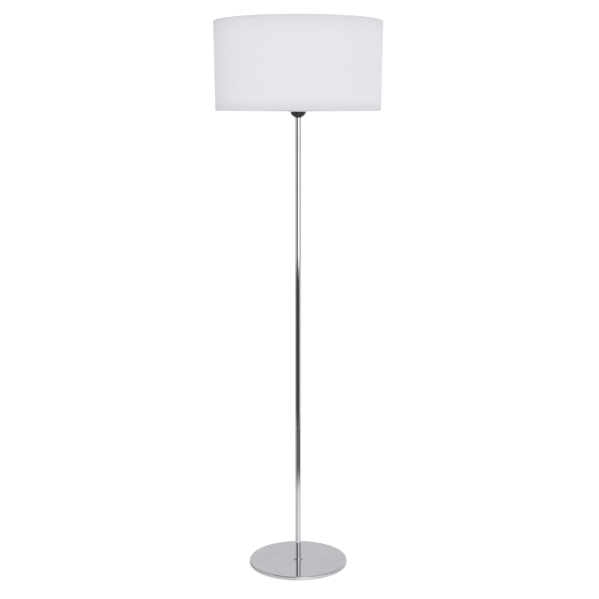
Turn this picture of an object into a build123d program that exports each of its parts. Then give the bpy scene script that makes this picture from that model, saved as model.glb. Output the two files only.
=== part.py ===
from build123d import *
import os
from math import ceil, cos, radians, sin, sqrt

# A floor lamp: a drum shade on a slim screwed pole with a flat round foot.
# Millimetres, +Z up. The origin is on the floor at the middle of the foot. +Y is the back,
# where the cord enters the pole.

# Foot
foot_diameter = 280.0
foot_height = 10.5  # floor to the top face of the cover
cover_wall = 1.2
cover_edge_radius = 2.0
cover_inner_corner = 0.2  # the least radius inside that edge
cover_floor_gap = 1.2
weight_gap = 0.5  # between the iron disc and the wall of the cover
weight_edge = 1.2
pad_thickness = 2.0
pad_inset = 4.0
collar_diameter = 28.0
collar_height = 3.0
collar_edge_radius = 1.2

# Foot bolt, M8 with a low head
bolt_diameter = 8.0
bolt_head_diameter = 13.0
bolt_head_height = 5.0
bolt_head_floor_gap = 1.2
bolt_head_chamfer = 0.5
bolt_point_chamfer = 0.8
bolt_key_size = 5.0
bolt_key_depth = 2.8
bolt_engagement = 12.0
washer_diameter = 20.0
washer_thickness = 1.2
washer_recess_gap = 2.0

# Pole
pole_diameter = 16.0
pole_wall = 1.0
lower_tube_length = 394.0
middle_tube_length = 436.0
upper_tube_length = 434.0
tube_chamfer = 0.4
bush_length = 12.0
bush_chamfer = 0.4
bush_setback = 0.2  # keeps the tubes meeting first
nipple_diameter = 10.0
nipple_bore = 7.0
nipple_length = 22.0
nipple_chamfer = 0.5
plug_length = 16.0
plug_chamfer = 0.5

# Cord inlet, a bush in the back of the lower tube
inlet_height = 34.5  # above the foot
gland_neck_diameter = 7.9
gland_flange_diameter = 11.0
gland_bore = 5.5
gland_reach = 3.5  # stands out of the tube
gland_lip = 0.2  # inside the tube
gland_rim_radius = 0.9
gland_neck_end = 1.5  # behind the mouth

# Lead inside the pole
lead_diameter = 5.2
lead_gland_gap = 0.6
lead_bend_gap = 0.05  # straight before the bend
lead_end_drop = 6.0  # the sheath ends below the top of the pole
core_diameter = 1.8
core_spacing = 2.4
core_bend = 3.4
core_drop = 2.2  # below the block, where a core turns up

# Lampholder, heights above the top of the pole
cap_lip = 1.0  # the cap's neck stands out past the tube
cap_height = 12.8
cap_shoulder = 3.0  # outside the spigot
cap_floor = 5.0
cap_foot_band = 1.0
cap_rim_band = 1.2
cap_bulge = 0.9  # of the side, outside the straight line
cap_bulge_drop = 1.3  # below half height
cap_inner_slope = 5.0
spigot_wall = 2.1
spigot_height = 6.2
skirt_flange_width = 1.6  # outside the thread
skirt_flange_height = 2.7
skirt_flange_edge = 0.6
skirt_height = 32.5  # above the flange
skirt_wall = 2.3  # bore to the thread's mean radius
skirt_thread_pitch = 2.5
skirt_thread_depth = 0.8
skirt_plain = 1.5  # plain band under the thread
skirt_shell_gap = 3.35
skirt_socket_step = 0.5  # bore to the spigot
skirt_ledge_height = 1.5
skirt_ledge_width = 1.4
block_flange_height = 1.1
block_depth = 8.0
block_boss_height = 0.5
block_boss_gap = 0.8  # inside the shell's opening
terminal_width = 7.4  # along X
terminal_depth = 8.6  # along Y
terminal_height = 5.6
terminal_edge = 0.5
terminal_offset = 8.0
terminal_gap = 0.1  # round a terminal in its pocket
terminal_wire_hole = 2.4
terminal_wire_offset = 2.2
terminal_wire_depth = 3.4
terminal_screw_diameter = 3.0
terminal_screw_head = 4.4
terminal_screw_head_height = 2.0
screw_slot_width = 0.8
screw_slot_depth = 0.9
lock_screw_diameter = 3.0
lock_screw_length = 4.0
lock_screw_key = 1.5
lock_screw_point = 0.4
lock_screw_rise = 0.1  # above the middle of the cap's floor
holder_nipple_length = 18.0
holder_nipple_rise = 5.6

# Edison screw, shared by the holder's shell and the bulb
edison_pitch = 3.63
edison_radius = 12.85  # mean of the shell's inner crest and root
edison_swell = 0.5
edison_gap = 0.25
shell_turns = 5
shell_sheet = 0.4
shell_floor_width = 3.65
contact_width = 5.0
contact_sheet = 0.5
contact_rise = 2.2
contact_tab = 2.2  # beyond the rivet
contact_nose = 2.4  # past the middle
contact_tip = 1.0  # turned down at the nose
rivet_diameter = 2.4
rivet_head_diameter = 3.6
rivet_head_height = 0.6
rivet_head_taper = 20.0  # degrees
centre_rivet_inset = 2.8  # from the edge of the boss
shell_rivet_inset = 1.2  # from the edge of the opening

# Bulb
bulb_length = 107.0
bulb_radius = 30.0
bulb_wall = 1.0
bulb_contact_gap = 0.15
bulb_cap_turns = 4
bulb_cap_sheet = 0.35
bulb_tip_radius = 4.7
bulb_tip_height = 1.0
bulb_tip_edge = 0.6
bulb_insulator_height = 5.4
bulb_insulator_foot = 1.2  # outside the tip
bulb_entry_step = 1.1  # the cap narrows below its first turn
bulb_entry_height = 1.0
bulb_collar_height = 3.0
bulb_collar_slope = 0.8
bulb_neck_step = 1.0  # outside the screw cap's mean radius
bulb_neck_depth = 6.0  # pushed into the cap
bulb_ledge = 2.5
globe_rim_drop = 14.0  # rim of the globe below its centre
board_thickness = 1.6

# Shade ring, which screws down on the shade's centre ring
clamp_collar_wall = 4.2  # outside the thread's mean radius
clamp_flange_width = 5.4
clamp_height = 7.4
clamp_plate = 2.2
clamp_thread_entry = 0.5  # plain bore under the thread, at least
clamp_grips = 24
clamp_grip_radius = 1.1

# Shade
shade_height = 238.0
shade_top_diameter = 459.0
shade_bottom_diameter = 452.0
shade_drop = 2.5  # bottom edge above the holder's shoulder
fabric_thickness = 0.5
liner_thickness = 0.5
layer_gap = 0.1
frame_wire = 4.0
arm_wire = 3.5
arm_count = 3
arm_start_angle = 90.0
hem_return = 5.0
centre_ring_plate = 1.5
centre_ring_height = 4.0
centre_ring_wall = 2.0
centre_ring_gap = 0.4  # round the thread
arm_weld = 0.05  # run of each arm's end into what it is welded to
arm_slit_gap = 0.4  # round an arm, where the hem is slit for it

# Fits
press_gap = 0.03
thread_gap = 0.05
slide_gap = 0.1
turn_gap = 0.3  # between pieces that turn on each other

# Heights that the stack gives
pole_radius = pole_diameter / 2
tube_inside = pole_radius - pole_wall
cover_underside = foot_height - cover_wall
lower_joint = foot_height + lower_tube_length
upper_joint = lower_joint + middle_tube_length
pole_top = upper_joint + upper_tube_length
flange_bottom = pole_top + cap_height
shoulder = flange_bottom + skirt_flange_height
spigot_top = flange_bottom + spigot_height
block_top = spigot_top + thread_gap + block_flange_height
skirt_top = shoulder + skirt_height
ledge_bottom = block_top + thread_gap
boss_top = block_top + block_boss_height
contact_bottom = boss_top + thread_gap
bulb_bottom = contact_bottom + contact_sheet + contact_rise + bulb_contact_gap
edison_start = bulb_bottom + bulb_insulator_height + bulb_entry_height
bulb_cap_top = edison_start + bulb_cap_turns * edison_pitch + bulb_collar_height
globe_centre = bulb_bottom + bulb_length - bulb_radius
globe_rim = globe_centre - globe_rim_drop
shade_bottom = shoulder + shade_drop
shade_top = shade_bottom + shade_height
centre_ring_bottom = shoulder + turn_gap
clamp_bottom = centre_ring_bottom + centre_ring_height + turn_gap

# Radii that follow from the Edison screw, from the inside out
skirt_bore = edison_radius + shell_sheet + edison_swell + skirt_shell_gap
spigot_radius = skirt_bore + skirt_socket_step
skirt_thread_radius = skirt_bore + skirt_wall  # mean of crest and root
cap_radius = spigot_radius + cap_shoulder
skirt_flange_radius = skirt_thread_radius + skirt_flange_width
clamp_collar_radius = skirt_thread_radius + clamp_collar_wall
clamp_radius = clamp_collar_radius + clamp_flange_width
centre_ring_radius = clamp_radius
shell_opening = edison_radius - shell_floor_width
shell_rivet_offset = shell_opening + shell_rivet_inset
block_boss_radius = shell_opening - block_boss_gap
centre_rivet_offset = block_boss_radius - centre_rivet_inset
bulb_neck_radius = edison_radius - edison_gap + bulb_neck_step

bush_radius = tube_inside - press_gap
nipple_radius = nipple_diameter / 2
nipple_hole = nipple_radius + thread_gap
inlet_z = foot_height + inlet_height
inlet_plane = Plane(origin=(0, 0, inlet_z), x_dir=(1, 0, 0), z_dir=(0, 1, 0))
gland_inner = sqrt(tube_inside**2 - (gland_neck_diameter / 2) ** 2) + gland_lip
arm_angles = [arm_start_angle + 360 / arm_count * turn for turn in range(arm_count)]

os.makedirs("parts", exist_ok=True)


def keep(name, piece):
    """Labels a finished piece and writes it."""
    piece.label = name
    export_step(piece, f"parts/{name}.step")


def ring(outer, inner, bottom, height, chamfer_by=0.0):
    """A plain round ring or bush about Z, with its outer edges chamfered."""
    with BuildPart() as body:
        with BuildSketch(Plane.XY.offset(bottom)):
            Circle(outer)
            Circle(inner, mode=Mode.SUBTRACT)
        extrude(amount=height)
        if chamfer_by:
            outer_edges = body.edges().filter_by(GeomType.CIRCLE).sort_by(SortBy.RADIUS)[-2:]
            chamfer(outer_edges, chamfer_by)
    return body.part


def wave(radius, start, pitch, turns, swell):
    """Adds a rounded thread profile, as arcs that swell out and in, to the line being drawn."""
    for turn in range(turns):
        low = start + turn * pitch
        middle = low + pitch / 2
        ThreePointArc((radius, low), (radius + swell, low + pitch / 4), (radius, middle))
        ThreePointArc((radius, middle), (radius - swell, middle + pitch / 4), (radius, low + pitch))


# ---------------------------------------------------------------- foot

foot_radius = foot_diameter / 2
weight_radius = foot_radius - cover_wall - weight_gap
recess_radius = washer_diameter / 2 + washer_recess_gap
recess_top = bolt_head_floor_gap + bolt_head_height + washer_thickness
bolt_hole = bolt_diameter / 2 + turn_gap

with BuildPart() as base_cover:
    with BuildSketch(Plane.XZ) as cover_profile:
        with BuildLine():
            Polyline(
                (bolt_hole, foot_height),
                (foot_radius, foot_height),
                (foot_radius, cover_floor_gap),
                (foot_radius - cover_wall, cover_floor_gap),
                (foot_radius - cover_wall, cover_underside),
                (bolt_hole, cover_underside),
                close=True,
            )
        make_face()
        outer_corner = cover_profile.vertices().sort_by_distance((foot_radius, foot_height))[0]
        fillet(outer_corner, cover_edge_radius)
        inner_at = (foot_radius - cover_wall, cover_underside)
        inner_corner = cover_profile.vertices().sort_by_distance(inner_at)[0]
        fillet(inner_corner, max(cover_edge_radius - cover_wall, cover_inner_corner))
    revolve(axis=Axis.Z)
keep("base_cover", base_cover.part)

with BuildPart() as base_weight:
    with BuildSketch(Plane.XY.offset(pad_thickness)):
        Circle(weight_radius)
        Circle(bolt_hole, mode=Mode.SUBTRACT)
    extrude(amount=cover_underside - pad_thickness)
    rims = base_weight.edges().filter_by(GeomType.CIRCLE).sort_by(SortBy.RADIUS)[-2:]
    chamfer(rims, weight_edge)
    with BuildSketch(Plane.XY.offset(pad_thickness)):
        Circle(recess_radius)
    extrude(amount=recess_top - pad_thickness, mode=Mode.SUBTRACT)
keep("base_weight", base_weight.part)

keep("base_pad", ring(weight_radius - pad_inset, recess_radius, 0, pad_thickness))

with BuildPart() as foot_bolt:
    with BuildSketch(Plane.XY.offset(bolt_head_floor_gap)):
        Circle(bolt_head_diameter / 2)
    extrude(amount=bolt_head_height)
    chamfer(foot_bolt.edges().group_by(Axis.Z)[0], bolt_head_chamfer)
    with BuildSketch(Plane.XY.offset(bolt_head_floor_gap + bolt_head_height)):
        Circle(bolt_diameter / 2)
    shank_length = foot_height + bolt_engagement - bolt_head_floor_gap - bolt_head_height
    extrude(amount=shank_length)
    chamfer(foot_bolt.edges().group_by(Axis.Z)[-1], bolt_point_chamfer)
    with BuildSketch(Plane.XY.offset(bolt_head_floor_gap)):
        RegularPolygon(bolt_key_size / 2, 6, major_radius=False)
    extrude(amount=bolt_key_depth, mode=Mode.SUBTRACT)
keep("foot_bolt", foot_bolt.part)

washer_bottom = recess_top - washer_thickness
keep("foot_washer", ring(washer_diameter / 2, bolt_hole, washer_bottom, washer_thickness))

with BuildPart() as pole_collar:
    with BuildSketch(Plane.XY.offset(foot_height)):
        Circle(collar_diameter / 2)
        Circle(pole_radius + slide_gap, mode=Mode.SUBTRACT)
    extrude(amount=collar_height)
    top_rim = pole_collar.edges().group_by(Axis.Z)[-1].sort_by(SortBy.RADIUS)[-1]
    fillet(top_rim, collar_edge_radius)
keep("pole_collar", pole_collar.part)

# ---------------------------------------------------------------- pole

with BuildPart() as lower_tube:
    with BuildSketch(Plane.XY.offset(foot_height)):
        Circle(pole_radius)
        Circle(tube_inside, mode=Mode.SUBTRACT)
    extrude(amount=lower_tube_length)
    tube_rims = lower_tube.edges().filter_by(GeomType.CIRCLE).sort_by(SortBy.RADIUS)[-2:]
    chamfer(tube_rims.sort_by(Axis.Z)[-1], tube_chamfer)
    with BuildSketch(inlet_plane):
        Circle(gland_neck_diameter / 2 + thread_gap)
    extrude(amount=pole_diameter, mode=Mode.SUBTRACT)
keep("lower_tube", lower_tube.part)

for tube_name, tube_bottom, tube_length in (
    ("middle_tube", lower_joint, middle_tube_length),
    ("upper_tube", upper_joint, upper_tube_length),
):
    keep(tube_name, ring(pole_radius, tube_inside, tube_bottom, tube_length, tube_chamfer))

plug_hole = bolt_diameter / 2 + thread_gap
keep("foot_plug", ring(bush_radius, plug_hole, foot_height, plug_length, plug_chamfer))

# Each screwed joint is a tapped bush in either tube end and a hollow threaded nipple.
for joint_name, joint_z in (("lower_joint", lower_joint), ("upper_joint", upper_joint)):
    low_bush_bottom = joint_z - bush_setback - bush_length
    low_bush = ring(bush_radius, nipple_hole, low_bush_bottom, bush_length, bush_chamfer)
    keep(f"{joint_name}_low_bush", low_bush)
    high_bush_bottom = joint_z + bush_setback
    high_bush = ring(bush_radius, nipple_hole, high_bush_bottom, bush_length, bush_chamfer)
    keep(f"{joint_name}_high_bush", high_bush)
    nipple_bottom = joint_z - nipple_length / 2
    nipple = ring(nipple_radius, nipple_bore / 2, nipple_bottom, nipple_length, nipple_chamfer)
    keep(f"{joint_name}_nipple", nipple)

top_bush_bottom = pole_top - bush_setback - bush_length
top_bush = ring(bush_radius, nipple_hole, top_bush_bottom, bush_length, bush_chamfer)
keep("pole_top_bush", top_bush)
nipple_top = pole_top + holder_nipple_rise
nipple_end = nipple_top - holder_nipple_length
top_nipple = ring(nipple_radius, nipple_bore / 2, nipple_end, holder_nipple_length, nipple_chamfer)
keep("holder_nipple", top_nipple)

# ---------------------------------------------------------------- cord inlet and lead

flange_seat = sqrt(pole_radius**2 - (gland_flange_diameter / 2) ** 2)
gland_mouth = pole_radius + gland_reach
with BuildPart() as cord_gland:
    with BuildSketch(inlet_plane.offset(flange_seat)):
        Circle(gland_flange_diameter / 2)
    extrude(amount=gland_mouth - flange_seat)
    with BuildSketch(Plane.XY.offset(inlet_z - gland_flange_diameter)):
        Circle(pole_radius + press_gap)
    extrude(amount=2 * gland_flange_diameter, mode=Mode.SUBTRACT)
    fillet(cord_gland.edges().group_by(Axis.Y)[-1], gland_rim_radius)
    with BuildSketch(inlet_plane.offset(gland_inner)):
        Circle(gland_neck_diameter / 2)
    extrude(amount=gland_mouth - gland_neck_end - gland_inner)
    with BuildSketch(inlet_plane.offset(gland_inner)):
        Circle(gland_bore / 2)
    extrude(amount=gland_mouth - gland_inner, mode=Mode.SUBTRACT)
keep("cord_gland", cord_gland.part)

lead_start = gland_inner - lead_gland_gap
lead_end = pole_top - lead_end_drop
with BuildPart() as inner_lead:
    with BuildLine() as lead_route:
        FilletPolyline(
            (0, lead_start, inlet_z),
            (0, 0, inlet_z),
            (0, 0, lead_end),
            radius=lead_start - lead_bend_gap,
        )
    with BuildSketch(Plane(origin=(0, lead_start, inlet_z), z_dir=(0, -1, 0))):
        Circle(lead_diameter / 2)
    sweep(path=lead_route.wires()[0])
keep("inner_lead", inner_lead.part)

# The two cores leave the sheath inside the holder's nipple and end in the terminals.
block_bottom = spigot_top - block_depth
terminal_bottom = block_bottom + terminal_gap
core_side = core_spacing / 2
cap_floor_top = pole_top + cap_floor
for core_name, side in (("live_core", 1), ("neutral_core", -1)):
    with BuildPart() as core:
        with BuildLine() as core_route:
            FilletPolyline(
                (side * core_side, 0, lead_end),
                (side * core_side, 0, nipple_top),
                (side * terminal_offset, terminal_wire_offset, block_bottom - core_drop),
                (side * terminal_offset, terminal_wire_offset, terminal_bottom + terminal_wire_depth),
                radius=core_bend,
            )
        with BuildSketch(Plane(origin=(side * core_side, 0, lead_end), z_dir=(0, 0, 1))):
            Circle(core_diameter / 2)
        sweep(path=core_route.wires()[0])
    keep(core_name, core.part)

# ---------------------------------------------------------------- lampholder

# The cap is a bowl with a thick floor, tapped for the nipple, and a threaded spigot on top.
cap_foot_radius = pole_radius + cap_lip
cap_mid_radius = (cap_foot_radius + cap_radius) / 2 + cap_bulge
cap_mid_height = pole_top + cap_height / 2 - cap_bulge_drop
spigot_inside = spigot_radius - spigot_wall
with BuildPart() as holder_cap:
    with BuildSketch(Plane.XZ):
        with BuildLine():
            ThreePointArc(
                (cap_foot_radius, pole_top + cap_foot_band),
                (cap_mid_radius, cap_mid_height),
                (cap_radius, flange_bottom - cap_rim_band),
            )
            Polyline(
                (cap_radius, flange_bottom - cap_rim_band),
                (cap_radius, flange_bottom),
                (spigot_radius, flange_bottom),
                (spigot_radius, spigot_top),
                (spigot_inside, spigot_top),
                (spigot_inside, cap_floor_top + cap_inner_slope),
                (spigot_inside - cap_inner_slope, cap_floor_top),
                (nipple_hole, cap_floor_top),
                (nipple_hole, pole_top),
                (cap_foot_radius, pole_top),
                (cap_foot_radius, pole_top + cap_foot_band),
            )
        make_face()
    revolve(axis=Axis.Z)
    lock_screw_z = pole_top + cap_floor / 2 + lock_screw_rise
    with BuildSketch(Plane(origin=(0, 0, lock_screw_z), z_dir=(0, 1, 0))):
        Circle(lock_screw_diameter / 2 + thread_gap)
    extrude(amount=cap_radius, mode=Mode.SUBTRACT)
keep("holder_cap", holder_cap.part)

with BuildPart() as lock_screw:
    with BuildSketch(Plane(origin=(0, nipple_radius, lock_screw_z), z_dir=(0, 1, 0))):
        Circle(lock_screw_diameter / 2)
    extrude(amount=lock_screw_length)
    chamfer(lock_screw.edges().group_by(Axis.Y)[0], lock_screw_point)
    screw_end = Plane(lock_screw.faces().sort_by(Axis.Y)[-1])
    with BuildSketch(screw_end):
        RegularPolygon(lock_screw_key / 2, 6, major_radius=False)
    extrude(amount=-lock_screw_length / 2, mode=Mode.SUBTRACT)
keep("lock_screw", lock_screw.part)

# The skirt screws onto the spigot, holds the block down and carries the shade ring's thread.
thread_swell = skirt_thread_depth / 2
thread_start = shoulder + skirt_plain
thread_turns = int((skirt_height - skirt_plain) / skirt_thread_pitch)
thread_end = thread_start + thread_turns * skirt_thread_pitch
skirt_socket = spigot_radius + thread_gap
ledge_bore = skirt_bore - skirt_ledge_width
with BuildPart() as holder_skirt:
    with BuildSketch(Plane.XZ):
        with BuildLine():
            Polyline(
                (skirt_thread_radius, thread_start),
                (skirt_thread_radius, shoulder),
                (skirt_flange_radius, shoulder),
                (skirt_flange_radius, flange_bottom),
                (skirt_socket, flange_bottom),
                (skirt_socket, ledge_bottom),
                (ledge_bore, ledge_bottom),
                (ledge_bore, ledge_bottom + skirt_ledge_height),
                (skirt_bore, ledge_bottom + skirt_ledge_height),
                (skirt_bore, skirt_top),
                (skirt_thread_radius, skirt_top),
                (skirt_thread_radius, thread_end),
            )
            wave(skirt_thread_radius, thread_start, skirt_thread_pitch, thread_turns, thread_swell)
        make_face()
    revolve(axis=Axis.Z)
    flange_rims = holder_skirt.edges().filter_by(GeomType.CIRCLE).sort_by(SortBy.RADIUS)[-2:]
    fillet(flange_rims, skirt_flange_edge)
keep("holder_skirt", holder_skirt.part)

pocket_width = terminal_width + 2 * terminal_gap
pocket_back = terminal_depth / 2 + terminal_gap
terminal_top = terminal_bottom + terminal_height
pocket_top = terminal_top + terminal_gap
rivet_hole = rivet_diameter / 2 + thread_gap
with BuildPart() as holder_block:
    with BuildSketch(Plane.XY.offset(block_bottom)):
        Circle(spigot_inside - slide_gap)
    extrude(amount=block_top - block_bottom)
    with BuildSketch(Plane.XY.offset(spigot_top + thread_gap)):
        Circle(spigot_radius - slide_gap)
    extrude(amount=block_flange_height)
    with BuildSketch(Plane.XY.offset(block_top)):
        Circle(block_boss_radius)
    extrude(amount=block_boss_height)
    with BuildSketch(Plane.XY.offset(block_bottom)):
        with Locations((terminal_offset, pocket_back), (-terminal_offset, pocket_back)):
            Rectangle(pocket_width, 2 * spigot_radius, align=(Align.CENTER, Align.MAX))
    extrude(amount=pocket_top - block_bottom, mode=Mode.SUBTRACT)
    with BuildSketch(Plane.XY.offset(pocket_top)):
        with Locations((centre_rivet_offset, 0), (-shell_rivet_offset, 0)):
            Circle(rivet_hole)
    extrude(amount=boss_top - pocket_top, mode=Mode.SUBTRACT)
keep("holder_block", holder_block.part)

shell_floor = block_top + thread_gap
shell_start = edison_start - edison_pitch
shell_top = shell_start + shell_turns * edison_pitch
shell_outside = edison_radius + shell_sheet
with BuildPart() as screw_shell:
    with BuildSketch(Plane.XZ):
        with BuildLine():
            wave(edison_radius, shell_start, edison_pitch, shell_turns, edison_swell)
            Polyline(
                (edison_radius, shell_start),
                (edison_radius, shell_floor + shell_sheet),
                (shell_opening, shell_floor + shell_sheet),
                (shell_opening, shell_floor),
                (shell_outside, shell_floor),
                (shell_outside, shell_start),
            )
            wave(shell_outside, shell_start, edison_pitch, shell_turns, edison_swell)
            Line((shell_outside, shell_top), (edison_radius, shell_top))
        make_face()
    revolve(axis=Axis.Z)
    with BuildSketch(Plane.XY.offset(shell_floor)):
        with Locations((-shell_rivet_offset, 0)):
            Circle(rivet_hole)
    extrude(amount=shell_sheet, mode=Mode.SUBTRACT)
keep("screw_shell", screw_shell.part)

# The centre contact is a springy strip, riveted at one end and raised over the middle.
strip_low = contact_bottom + contact_sheet / 2
strip_high = strip_low + contact_rise
with BuildPart() as centre_contact:
    with BuildSketch(Plane.XZ):
        with BuildLine():
            Polyline(
                (centre_rivet_offset + contact_tab, strip_low),
                (centre_rivet_offset - contact_tab, strip_low),
                (contact_nose / 2, strip_high),
                (-contact_nose, strip_high),
                (-contact_nose - contact_tip, strip_high - contact_tip),
            )
        trace(line_width=contact_sheet)
    extrude(amount=contact_width / 2, both=True)
    with BuildSketch(Plane.XY.offset(contact_bottom)):
        with Locations((centre_rivet_offset, 0)):
            Circle(rivet_hole)
    extrude(amount=contact_sheet, mode=Mode.SUBTRACT)
keep("centre_contact", centre_contact.part)

with BuildPart() as contact_rivets:
    for rivet_x, rivet_seat in (
        (centre_rivet_offset, contact_bottom + contact_sheet),
        (-shell_rivet_offset, shell_floor + shell_sheet),
    ):
        with BuildSketch(Plane.XY.offset(terminal_top)):
            with Locations((rivet_x, 0)):
                Circle(rivet_diameter / 2)
        extrude(amount=rivet_seat - terminal_top)
        with BuildSketch(Plane.XY.offset(rivet_seat)):
            with Locations((rivet_x, 0)):
                Circle(rivet_head_diameter / 2)
        extrude(amount=rivet_head_height, taper=rivet_head_taper)
keep("contact_rivets", contact_rivets.part)

screw_z = terminal_bottom + terminal_wire_depth / 2
core_front = terminal_wire_offset - core_diameter / 2
for terminal_name, side in (("live_terminal", 1), ("neutral_terminal", -1)):
    with BuildPart() as terminal:
        with BuildSketch(Plane.XY.offset(terminal_bottom)):
            with Locations((side * terminal_offset, 0)):
                Rectangle(terminal_width, terminal_depth)
        extrude(amount=terminal_height)
        chamfer(terminal.edges().filter_by(Axis.Z), terminal_edge)
        with BuildSketch(Plane.XY.offset(terminal_bottom)):
            with Locations((side * terminal_offset, terminal_wire_offset)):
                Circle(terminal_wire_hole / 2)
        extrude(amount=terminal_wire_depth, mode=Mode.SUBTRACT)
        screw_entry = Plane(
            origin=(side * terminal_offset, -terminal_depth / 2, screw_z), z_dir=(0, 1, 0)
        )
        with BuildSketch(screw_entry):
            Circle(terminal_screw_diameter / 2 + thread_gap)
        extrude(amount=terminal_depth / 2 + terminal_wire_offset, mode=Mode.SUBTRACT)
    keep(terminal_name, terminal.part)

with BuildPart() as terminal_screws:
    for side in (1, -1):
        head_seat = Plane(
            origin=(side * terminal_offset, -terminal_depth / 2, screw_z), z_dir=(0, 1, 0)
        )
        with BuildSketch(head_seat):
            Circle(terminal_screw_diameter / 2)
        extrude(amount=terminal_depth / 2 + core_front)
        with BuildSketch(head_seat):
            Circle(terminal_screw_head / 2)
        extrude(amount=-terminal_screw_head_height)
        with BuildSketch(head_seat.offset(-terminal_screw_head_height)):
            Rectangle(terminal_screw_head, screw_slot_width)
        extrude(amount=screw_slot_depth, mode=Mode.SUBTRACT)
keep("terminal_screws", terminal_screws.part)

# ---------------------------------------------------------------- bulb

bulb_thread = edison_radius - edison_gap
bulb_thread_inside = bulb_thread - bulb_cap_sheet
bulb_thread_end = edison_start + bulb_cap_turns * edison_pitch
insulator_top = bulb_bottom + bulb_insulator_height
cap_entry = bulb_thread - bulb_entry_step  # radius where the screw begins
bulb_collar_bottom = bulb_thread_end + bulb_collar_slope
with BuildPart() as bulb_cap:
    with BuildSketch(Plane.XZ):
        with BuildLine():
            Line((cap_entry, insulator_top), (bulb_thread, edison_start))
            wave(bulb_thread, edison_start, edison_pitch, bulb_cap_turns, edison_swell)
            Polyline(
                (bulb_thread, bulb_thread_end),
                (bulb_thread + edison_swell, bulb_collar_bottom),
                (bulb_thread + edison_swell, bulb_cap_top),
                (bulb_thread_inside + edison_swell, bulb_cap_top),
                (bulb_thread_inside + edison_swell, bulb_collar_bottom),
                (bulb_thread_inside, bulb_thread_end),
            )
            wave(bulb_thread_inside, edison_start, edison_pitch, bulb_cap_turns, edison_swell)
            Polyline(
                (bulb_thread_inside, edison_start),
                (cap_entry - bulb_cap_sheet, insulator_top),
                (cap_entry, insulator_top),
            )
        make_face()
    revolve(axis=Axis.Z)
keep("bulb_cap", bulb_cap.part)

tip_top = bulb_bottom + bulb_tip_height
with BuildPart() as bulb_insulator:
    with BuildSketch(Plane.XZ):
        with BuildLine():
            Polyline(
                (0, tip_top),
                (bulb_tip_radius + bulb_insulator_foot, tip_top),
                (cap_entry, insulator_top),
                (0, insulator_top),
                close=True,
            )
        make_face()
    revolve(axis=Axis.Z)
keep("bulb_insulator", bulb_insulator.part)

with BuildPart() as bulb_contact:
    with BuildSketch(Plane.XY.offset(bulb_bottom)):
        Circle(bulb_tip_radius)
    extrude(amount=bulb_tip_height)
    fillet(bulb_contact.edges().group_by(Axis.Z)[0], bulb_tip_edge)
keep("bulb_contact", bulb_contact.part)

rim_radius = sqrt(bulb_radius**2 - globe_rim_drop**2)
rim_tangent = (globe_rim_drop, rim_radius)
housing_start = bulb_cap_top + slide_gap
board_bottom = globe_rim - board_thickness
neck_outside = bulb_thread_inside - edison_swell - slide_gap
ledge_inside = rim_radius - bulb_wall - bulb_ledge - board_thickness
with BuildPart() as bulb_housing:
    with BuildSketch(Plane.XZ):
        with BuildLine():
            Spline(
                (bulb_neck_radius, housing_start),
                (rim_radius, globe_rim),
                tangents=((0, 1), rim_tangent),
            )
            Polyline(
                (rim_radius, globe_rim),
                (rim_radius - bulb_wall, globe_rim),
                (rim_radius - bulb_wall - board_thickness, board_bottom),
                (ledge_inside, board_bottom),
                (ledge_inside - bulb_wall, board_bottom - bulb_wall),
            )
            Spline(
                (ledge_inside - bulb_wall, board_bottom - bulb_wall),
                (neck_outside - bulb_wall, housing_start),
                tangents=((-1, -2), (0, -1)),
            )
            Polyline(
                (neck_outside - bulb_wall, housing_start),
                (neck_outside - bulb_wall, bulb_cap_top - bulb_neck_depth),
                (neck_outside, bulb_cap_top - bulb_neck_depth),
                (neck_outside, housing_start),
                (bulb_neck_radius, housing_start),
            )
        make_face()
    revolve(axis=Axis.Z)
keep("bulb_housing", bulb_housing.part)

board_radius = rim_radius - bulb_wall - board_thickness - slide_gap
with BuildPart() as led_board:
    with BuildSketch(Plane.XY.offset(board_bottom)):
        Circle(board_radius)
    extrude(amount=board_thickness - slide_gap)
keep("led_board", led_board.part)

globe_top = globe_centre + bulb_radius
inner_radius = bulb_radius - bulb_wall
inner_rim = sqrt(inner_radius**2 - globe_rim_drop**2)
with BuildPart() as bulb_globe:
    with BuildSketch(Plane.XZ):
        with BuildLine():
            ThreePointArc(
                (rim_radius, globe_rim), (bulb_radius, globe_centre), (0, globe_top)
            )
            Line((0, globe_top), (0, globe_top - bulb_wall))
            ThreePointArc(
                (0, globe_top - bulb_wall), (inner_radius, globe_centre), (inner_rim, globe_rim)
            )
            Line((inner_rim, globe_rim), (rim_radius, globe_rim))
        make_face()
    revolve(axis=Axis.Z)
keep("bulb_globe", bulb_globe.part)

# ---------------------------------------------------------------- shade ring

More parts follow.
